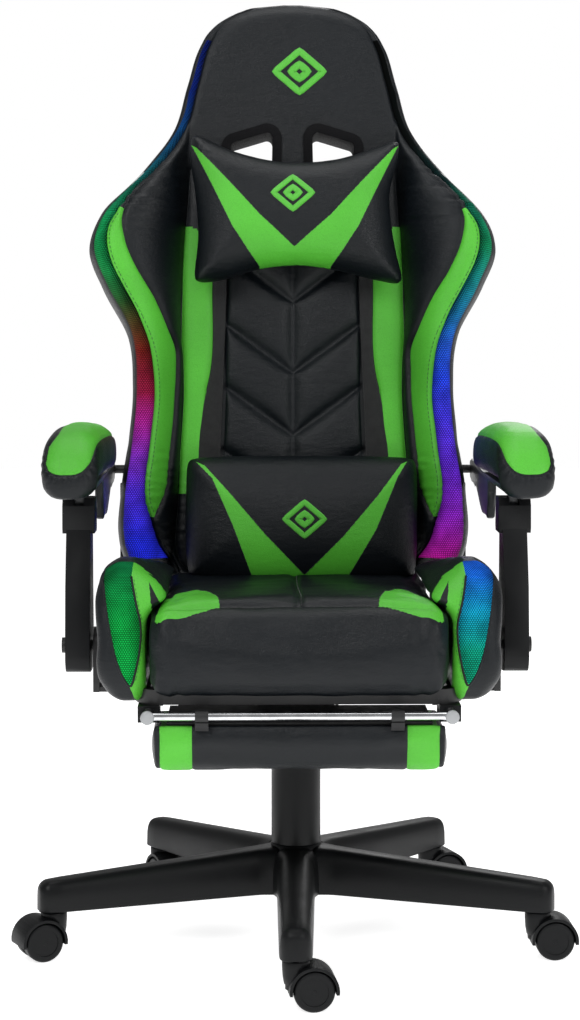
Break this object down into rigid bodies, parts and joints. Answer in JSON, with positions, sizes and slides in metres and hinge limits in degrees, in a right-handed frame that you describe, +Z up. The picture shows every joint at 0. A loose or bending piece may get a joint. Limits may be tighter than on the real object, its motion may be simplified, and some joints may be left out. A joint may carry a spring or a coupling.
{
  "type": "gaming chair",
  "caption": "Racing-style reclining gaming chair with lit mesh wings, neck and lumbar pillows, linked armrests, gas lift, casters and a pull-out footrest.",
  "frame": {"origin": "on the floor, on the swivel axis, under the middle of the object's box", "axes": "+Z up, the sitter faces -Y, +X is the sitter's left"},
  "size_m": [0.7277, 0.7163, 1.263],
  "materials": {
    "black_nylon": "fine matt texture",
    "black_plastic": "semi-gloss",
    "grey_plastic": "satin",
    "white_bush": "self-lubricating",
    "black_steel": "powder coat",
    "chrome": "polished",
    "zinc_steel": "zinc plated",
    "black_leather": "black imitation leather with lime green panels",
    "elastic_webbing": "woven elastic",
    "lit_mesh": "sparse black mesh lit from behind",
    "light_strip": "diffuser",
    "wood": "plywood"
  },
  "bodies": {
    "base": {"star_base": "black_nylon", "column_tube": "black_steel", "guide_bush": "white_bush", "dust_cover_lower": "black_nylon"},
    "cover_middle": {"dust_cover_middle": "black_nylon"},
    "cover_upper": {"dust_cover_upper": "black_nylon"},
    "piston": {"piston_rod": "chrome"},
    "mechanism": {"gas_cylinder": "black_steel", "mechanism_housing": "black_steel", "tilt_pin": "zinc_steel", "tension_spring": "zinc_steel"},
    "knob": {"tension_knob": "black_nylon"},
    "lever_bush": {"lever_pivot": "black_nylon"},
    "lever": {"height_lever": "black_nylon"},
    "seat": {"seat_plate": "black_steel", "seat_frame": "black_steel", "seat_bolts": "zinc_steel", "seat_cushion": "black_leather", "seat_bolster_left": "black_leather", "seat_bolster_right": "black_leather", "seat_led_mesh": "lit_mesh", "seat_led_strips": "light_strip", "recliner_brackets": "black_steel", "recliner_caps": "black_plastic", "arm_brackets": "black_steel", "footrest_guides": "black_nylon"},
    "recliner_handle": {"recliner_lever": "black_plastic"},
    "backrest": {"back_frame": "black_steel", "back_cushion": "black_leather", "head_cushion": "black_leather", "back_wing_left": "black_leather", "back_wing_right": "black_leather", "back_led_mesh": "lit_mesh", "back_led_strips": "light_strip", "belt_bezels": "black_plastic", "recliner_arms": "black_steel", "recliner_covers": "black_plastic", "lumbar_straps": "elastic_webbing"},
    "neck_pillow": {"head_strap": "elastic_webbing", "head_pillow": "black_leather"},
    "lumbar_cushion": {"lumbar_pillow": "black_leather"},
    "strut_left": {"arm_strut_left": "black_nylon"},
    "strut_right": {"arm_strut_right": "black_nylon"},
    "armrest_left": {"armrest_core_left": "grey_plastic", "armrest_pad_left": "black_leather"},
    "armrest_right": {"armrest_core_right": "grey_plastic", "armrest_pad_right": "black_leather"},
    "footrest_slider": {"footrest_frame": "chrome"},
    "footrest": {"footrest_board": "wood", "footrest_pad": "black_leather"},
    "caster_1": {"caster_hood_1": "black_nylon"},
    "wheels_1": {"caster_wheels_1": "black_nylon"},
    "caster_2": {"caster_hood_2": "black_nylon"},
    "wheels_2": {"caster_wheels_2": "black_nylon"},
    "caster_3": {"caster_hood_3": "black_nylon"},
    "wheels_3": {"caster_wheels_3": "black_nylon"},
    "caster_4": {"caster_hood_4": "black_nylon"},
    "wheels_4": {"caster_wheels_4": "black_nylon"},
    "caster_5": {"caster_hood_5": "black_nylon"},
    "wheels_5": {"caster_wheels_5": "black_nylon"}
  },
  "joints": [
    {"name": "caster_1_swivel", "type": "hinge", "parent": "base", "child": "caster_1", "pos_m": [0.30918, -0.10646, 0.05], "axis": [0, 0, 1], "continuous": true},
    {"name": "caster_1_roll", "type": "hinge", "parent": "caster_1", "child": "wheels_1", "pos_m": [0.32917, -0.10576, 0.025], "axis": [-0.0349, 0.9994, 0], "continuous": true},
    {"name": "caster_2_swivel", "type": "hinge", "parent": "base", "child": "caster_2", "pos_m": [0.19679, 0.26115, 0.05], "axis": [0, 0, 1], "continuous": true},
    {"name": "caster_2_roll", "type": "hinge", "parent": "caster_2", "child": "wheels_2", "pos_m": [0.21582, 0.26733, 0.025], "axis": [-0.309, 0.9511, 0], "continuous": true},
    {"name": "caster_3_swivel", "type": "hinge", "parent": "base", "child": "caster_3", "pos_m": [-0.18756, 0.26786, 0.05], "axis": [0, 0, 1], "continuous": true},
    {"name": "caster_3_roll", "type": "hinge", "parent": "caster_3", "child": "wheels_3", "pos_m": [-0.17848, 0.25004, 0.025], "axis": [0.891, 0.454, 0], "continuous": true},
    {"name": "caster_4_swivel", "type": "hinge", "parent": "base", "child": "caster_4", "pos_m": [-0.31271, -0.09561, 0.05], "axis": [0, 0, 1], "continuous": true},
    {"name": "caster_4_roll", "type": "hinge", "parent": "caster_4", "child": "wheels_4", "pos_m": [-0.33069, -0.10437, 0.025], "axis": [0.4384, -0.8988, 0], "continuous": true},
    {"name": "caster_5_swivel", "type": "hinge", "parent": "base", "child": "caster_5", "pos_m": [-0.00571, -0.32695, 0.05], "axis": [0, 0, 1], "continuous": true},
    {"name": "caster_5_roll", "type": "hinge", "parent": "caster_5", "child": "wheels_5", "pos_m": [0.01418, -0.32486, 0.025], "axis": [-0.1045, 0.9945, 0], "continuous": true},
    {"name": "seat_swivel", "type": "hinge", "parent": "base", "child": "piston", "pos_m": [0, 0, 0.1], "axis": [0, 0, 1], "continuous": true},
    {"name": "gas_lift", "type": "slide", "parent": "piston", "child": "mechanism", "axis": [0, 0, 1], "range_m": [0, 0.08]},
    {"name": "cover_upper_slide", "type": "slide", "parent": "base", "child": "cover_upper", "axis": [0, 0, 1], "range_m": [0, 0.08]},
    {"name": "cover_middle_slide", "type": "slide", "parent": "base", "child": "cover_middle", "axis": [0, 0, 1], "range_m": [0, 0.04]},
    {"name": "seat_tilt", "type": "hinge", "parent": "mechanism", "child": "seat", "pos_m": [0, -0.055, 0.333], "axis": [-1, 0, 0], "range_deg": [0, 12], "stiffness_Nm_per_rad": 220, "springref_deg": -20.05},
    {"name": "tension_knob_turn", "type": "hinge", "parent": "mechanism", "child": "knob", "pos_m": [0, -0.072, 0.27], "axis": [0, 0, 1], "range_deg": [-900, 900]},
    {"name": "height_lever_lift", "type": "hinge", "parent": "mechanism", "child": "lever_bush", "pos_m": [-0.052, -0.035, 0.318], "axis": [-1, 0, 0], "range_deg": [0, 15], "stiffness_Nm_per_rad": 0.8, "springref_deg": -14.32},
    {"name": "tilt_lock_slide", "type": "slide", "parent": "lever_bush", "child": "lever", "axis": [-1, 0, 0], "range_m": [0, 0.012]},
    {"name": "recline", "type": "hinge", "parent": "seat", "child": "backrest", "pos_m": [0, 0.235, 0.42], "axis": [-1, 0, 0], "range_deg": [0, 58]},
    {"name": "recliner_lever_pull", "type": "hinge", "parent": "seat", "child": "recliner_handle", "pos_m": [-0.245, 0.235, 0.42], "axis": [-1, 0, 0], "range_deg": [0, 30], "stiffness_Nm_per_rad": 1, "springref_deg": -17.19},
    {"name": "neck_pillow_slide", "type": "slide", "parent": "backrest", "child": "neck_pillow", "axis": [0, 0.1132, 0.9936], "range_m": [0, 0.03]},
    {"name": "lumbar_cushion_slide", "type": "slide", "parent": "backrest", "child": "lumbar_cushion", "axis": [0, 0.1132, 0.9936], "range_m": [0, 0.1]},
    {"name": "strut_left_turn", "type": "hinge", "parent": "seat", "child": "strut_left", "pos_m": [0.278, -0.075, 0.402], "axis": [-1, 0, 0], "range_deg": [0, 58]},
    {"name": "armrest_left_turn", "type": "hinge", "parent": "backrest", "child": "armrest_left", "pos_m": [0.2575, 0.252, 0.605], "axis": [-1, 0, 0], "range_deg": [-58, 0]},
    {"name": "strut_right_turn", "type": "hinge", "parent": "seat", "child": "strut_right", "pos_m": [-0.278, -0.075, 0.402], "axis": [-1, 0, 0], "range_deg": [0, 58]},
    {"name": "armrest_right_turn", "type": "hinge", "parent": "backrest", "child": "armrest_right", "pos_m": [-0.2575, 0.252, 0.605], "axis": [-1, 0, 0], "range_deg": [-58, 0]},
    {"name": "footrest_slide", "type": "slide", "parent": "seat", "child": "footrest_slider", "axis": [0, -1, 0], "range_m": [0, 0.3]},
    {"name": "footrest_flip", "type": "hinge", "parent": "footrest_slider", "child": "footrest", "pos_m": [0, -0.277, 0.344], "axis": [-1, 0, 0], "range_deg": [0, 180]}
  ],
  "couplings": [
    {"joint": "cover_upper_slide", "follows": "gas_lift", "ratio": 1},
    {"joint": "cover_middle_slide", "follows": "gas_lift", "ratio": 0.5},
    {"joint": "strut_left_turn", "follows": "recline", "ratio": 1},
    {"joint": "armrest_left_turn", "follows": "recline", "ratio": -1},
    {"joint": "strut_right_turn", "follows": "recline", "ratio": 1},
    {"joint": "armrest_right_turn", "follows": "recline", "ratio": -1}
  ]
}
